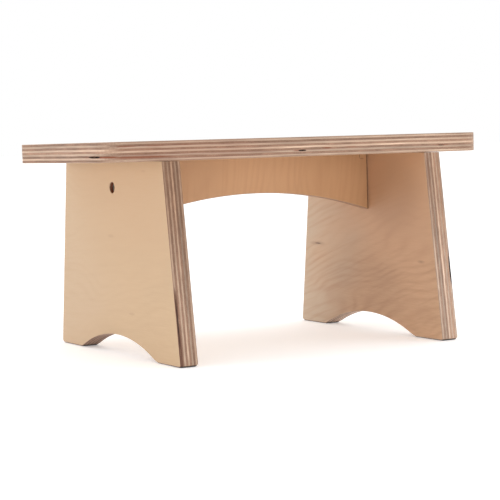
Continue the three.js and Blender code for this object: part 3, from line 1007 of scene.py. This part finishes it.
def make_board():
    low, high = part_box("top_board")
    home = frame_of(Vector((0, 0, low.z)), Y_AXIS, Z_AXIS)
    outline = board_outline(high.y - low.y, high.x - low.x)
    panel = eased_panel(outline, high.z - low.z, [EASED_EDGE] * len(outline))
    board = new_object("top_board_panel", finished_mesh(panel, "top_board_panel"))
    board.matrix_world = home
    drills = [dowel_drill(n, home) for n in nodes_with("top_dowel")]
    cut_with(board, drills + [gap_cutter(home, gap) for gap in BOARD_LOOK.gaps])
    wood = Plywood("top_board_plywood", high.z - low.z, home, BOARD_LOOK)
    finish_piece(board, wood.material, "top_panel", "top_board")


def bore_stain_and_shade(side):
    """The darkened wood round one screw's counterbore, under the leg's face: stain and painted
    shade in the recess.
    """
    low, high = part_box(f"{side}_screw")
    leg_low, leg_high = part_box(f"{side}_leg")
    outer = leg_low.x if side == "left" else leg_high.x
    depth = -SIDES[side] * BORE_STAIN_AND_SHADE_DEPTH
    return Spot((outer / MM + depth, 0, (low.z + high.z) / 2 / MM), BORE_STAIN_AND_SHADE_SIZE)


def make_leg(side):
    low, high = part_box(f"{side}_leg")
    board_low, board_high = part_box("top_board")
    thickness = high.x - low.x
    home = frame_of(Vector((low.x, 0, 0)), Y_AXIS, X_AXIS)
    outline = leg_outline(board_high.y - board_low.y, board_low.z, high.z + CUT_OVERRUN)
    eases = []
    for point in outline:
        share = min(1.0, max(0.0, point.y / FOOT_CORNER_RADIUS))
        eases.append(WORN_SOLE_EDGE + (EASED_EDGE - WORN_SOLE_EDGE) * share)
    panel = eased_panel(outline, thickness, eases)
    trim(panel, (0, high.z, 0), (0, 1, 0))
    leg = new_object(f"{side}_leg_panel", finished_mesh(panel, f"{side}_leg_panel"))
    leg.matrix_world = home
    drills = [dowel_drill(n, home) for n in nodes_with(side, "dowel")]
    drills.append(screw_drill(side, home))
    look = LEG_LOOKS[side]
    cut_with(leg, drills + [gap_cutter(home, gap) for gap in look.gaps])
    wood = Plywood(f"{side}_leg_plywood", thickness, home, look, [bore_stain_and_shade(side)], on_floor=True)
    finish_piece(leg, wood.material, "leg_panel", f"{side}_leg")


def make_stretcher():
    low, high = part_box("stretcher")
    thickness = high.y - low.y
    home = frame_of(Vector((0, high.y, 0)), Z_AXIS, -Y_AXIS)
    outline = stretcher_outline(high.x, low.z, high.z + CUT_OVERRUN)
    # the outline is drawn with x along the bench; the panel's own X is up
    turned_outline = [Vector((p.y, -p.x)) for p in outline]
    panel = eased_panel(turned_outline, thickness, [STRETCHER_EASE] * len(turned_outline))
    trim(panel, (high.z, 0, 0), (1, 0, 0))
    rail = new_object("stretcher_panel", finished_mesh(panel, "stretcher_panel"))
    rail.matrix_world = home
    dowels = nodes_with("end_dowel") + nodes_with("stretcher_top_dowel")
    drills = [dowel_drill(n, home) for n in dowels]
    drills += [screw_drill(side, home) for side in SIDES]
    cut_with(rail, drills)
    # painted shadow along the joints with the legs, drawn as knots
    joints = []
    for end in SIDES.values():
        middle = (end * high.x / MM, low.y / MM, JOINT_LINE_HEIGHT)
        joints.append(Spot(middle, JOINT_LINE_SIZE, strength=JOINT_LINE_STRENGTH))
    look = STRETCHER_LOOK._replace(knots=STRETCHER_LOOK.knots + joints)
    wood = Plywood("stretcher_plywood", thickness, home, look)
    finish_piece(rail, wood.material, "stretcher_panel", "stretcher")


def make_dowel(node, material):
    """A fluted dowel with chamfered ends."""
    axis, middle, half, radius = lie_of(node)
    chamfer = DOWEL_CHAMFER
    profile = [
        (0, -half),
        (radius - chamfer, -half),
        (radius, -half + chamfer),
        (radius, half - chamfer),
        (radius - chamfer, half),
        (0, half),
    ]
    solid = turned(profile, DOWEL_FLUTES * SIDES_PER_FLUTE)
    for vertex in solid.verts:
        spread = vertex.co.xy.length
        if spread < radius - TOUCHING:
            continue
        angle = math.atan2(vertex.co.y, vertex.co.x)
        groove = max(0.0, math.cos(angle * DOWEL_FLUTES)) ** 2 * DOWEL_FLUTE_DEPTH
        vertex.co.xy *= (radius - groove) / radius
    pin = new_object(node.replace("dowel", "dowel_pin"), finished_mesh(solid, node))
    pin.matrix_world = axis_matrix(axis, middle)
    finish_piece(pin, material, "dowel_wood", node)


def thread_radius(height, angle, start, end):
    """Radius of the threaded part at a height and an angle round it."""
    turn = (height / THREAD_PITCH - angle / math.tau) % 1.0
    crest = max(0.0, 1 - abs(turn - 0.5) / THREAD_CREST)
    run_in = min(1.0, (start - height) / THREAD_PITCH, (height - end) / THREAD_PITCH)
    return THREAD_ROOT_RADIUS + (SHANK_RADIUS - THREAD_ROOT_RADIUS) * crest * max(0.0, run_in)


def make_screw(side, material):
    """A socket-headed wood screw: its head's face is at z = 0 and its tip points down."""
    low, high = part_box(f"{side}_screw")
    length = high.x - low.x
    thread_start = -HEAD_HEIGHT - SHANK_LENGTH
    thread_end = -length + TIP_LENGTH
    profile = [
        (0, -length),
        (THREAD_ROOT_RADIUS / 2, -length + TIP_LENGTH / 2),
        (THREAD_ROOT_RADIUS, thread_end),
    ]
    rows = round((thread_start - thread_end) / SCREW_STEP)
    for i in range(1, rows):
        profile.append((THREAD_ROOT_RADIUS, thread_end + (thread_start - thread_end) * i / rows))
    profile += [
        (SHANK_RADIUS, thread_start),
        (SHANK_RADIUS, -HEAD_HEIGHT),
        (HEAD_RADIUS, -HEAD_HEIGHT),
        (HEAD_RADIUS, -HEAD_EDGE),
        (HEAD_RADIUS - HEAD_EDGE * HEAD_EDGE_CURVE, -HEAD_EDGE * HEAD_EDGE_CURVE),
        (HEAD_RADIUS - HEAD_EDGE, 0),
        (0, 0),
    ]
    solid = turned(profile, SCREW_SIDES)
    for vertex in solid.verts:
        if thread_end < vertex.co.z < thread_start - TOUCHING:
            angle = math.atan2(vertex.co.y, vertex.co.x)
            radius = thread_radius(vertex.co.z, angle, thread_start, thread_end)
            vertex.co.xy *= radius / vertex.co.xy.length
    screw = new_object(f"{side}_socket_screw", finished_mesh(solid, f"{side}_socket_screw"))
    outer = low.x if side == "left" else high.x
    middle = Vector((outer, (low.y + high.y) / 2, (low.z + high.z) / 2))
    outward = Matrix.Rotation(SIDES[side] * math.pi / 2, 4, "Y")
    screw.matrix_world = Matrix.Translation(middle) @ outward
    corner, deep = SOCKET_ACROSS_FLATS / math.sqrt(3), SOCKET_DEPTH
    socket = [(0, -deep), (corner, -deep), (corner, deep), (0, deep)]
    cut_with(screw, [finished_mesh(turned(socket, SOCKET_SIDES), "socket")])
    finish_piece(screw, material, "screw_steel", f"{side}_screw")


# ==== stage ==================================================================
def make_floor():
    """A wide pale studio floor."""
    disc = bmesh.new()
    bmesh.ops.create_circle(disc, cap_ends=True, radius=FLOOR_RADIUS, segments=FLOOR_SIDES)
    floor = new_object("studio_floor", finished_mesh(disc, "studio_floor"))
    floor.location.z = -FLOOR_DROP
    graph = Graph("studio_floor_paper")
    place = graph.node("ShaderNodeTexCoord").outputs["Object"]
    mottle = graph.noise(graph.vector("MULTIPLY", place, FLOOR_MOTTLES), detail=2)
    colour = graph.tint(graph.ramp(mottle, *NOISE_BAND), *FLOOR_COLOURS)
    graph.put(graph.shader.inputs["Base Color"], colour)
    graph.shader.inputs["Roughness"].default_value = FLOOR_ROUGHNESS
    graph.shader.inputs["Specular IOR Level"].default_value = FLOOR_SPECULAR
    graph.shader.inputs["Emission Color"].default_value = WHITE
    graph.shader.inputs["Emission Strength"].default_value = FLOOR_GLOW
    floor.data.materials.append(graph.material)


def hang_lamp(lamp):
    """A round soft lamp, aimed at its target and out of sight itself."""
    data = bpy.data.lights.new(lamp.name, "AREA")
    data.shape = "DISK"
    data.size = lamp.size
    data.energy = lamp.power
    hung = bpy.data.objects.new(lamp.name, data)
    bpy.context.scene.collection.objects.link(hung)
    hung.location = lamp.place
    hung.visible_camera = False
    aim = Vector(lamp.target) - Vector(lamp.place)
    hung.rotation_euler = aim.to_track_quat("-Z", "Y").to_euler()


def make_lights():
    """A white room, brighter behind the bench and on its right, and three low soft lamps."""
    world = bpy.data.worlds.new("white_studio")
    bpy.context.scene.world = world
    world.use_nodes = True
    tree = world.node_tree
    direction = tree.nodes.new("ShaderNodeTexCoord").outputs["Generated"]
    towards = tree.nodes.new("ShaderNodeVectorMath")
    towards.operation = "DOT_PRODUCT"
    towards.inputs[1].default_value = Vector(BRIGHT_SIDE).normalized()
    tree.links.new(direction, towards.inputs[0])
    strength = tree.nodes.new("ShaderNodeMath")
    strength.operation = "MULTIPLY_ADD"
    strength.inputs[1].default_value = ROOM_CONTRAST
    strength.inputs[2].default_value = ROOM_BRIGHTNESS
    tree.links.new(towards.outputs["Value"], strength.inputs[0])
    # seen directly the room is an even white; only the light it gives differs with direction
    shown = tree.nodes.new("ShaderNodeMix")
    shown.data_type = "FLOAT"
    tree.links.new(tree.nodes.new("ShaderNodeLightPath").outputs["Is Camera Ray"], shown.inputs[0])
    tree.links.new(strength.outputs[0], shown.inputs[2])
    shown.inputs[3].default_value = 1.0
    background = tree.nodes["Background"]
    background.inputs["Color"].default_value = WHITE
    tree.links.new(shown.outputs[0], background.inputs["Strength"])
    for lamp in LAMPS:
        hang_lamp(lamp)


def make_camera():
    data = bpy.data.cameras.new("camera")
    data.lens = CAMERA_LENS
    data.sensor_width = CAMERA_SENSOR
    camera = bpy.data.objects.new("camera", data)
    bpy.context.scene.collection.objects.link(camera)
    camera.location = CAMERA_PLACE
    camera.rotation_euler = [math.radians(angle) for angle in CAMERA_TURN]
    bpy.context.scene.camera = camera


make_camera()
make_floor()
make_lights()
make_board()
make_stretcher()
steel = screw_steel()
for side in SIDES:
    make_leg(side)
    make_screw(side, steel)
beech = dowel_wood()
for node in nodes_with("dowel"):
    make_dowel(node, beech)

bpy.context.scene.view_settings.view_transform = "Standard"
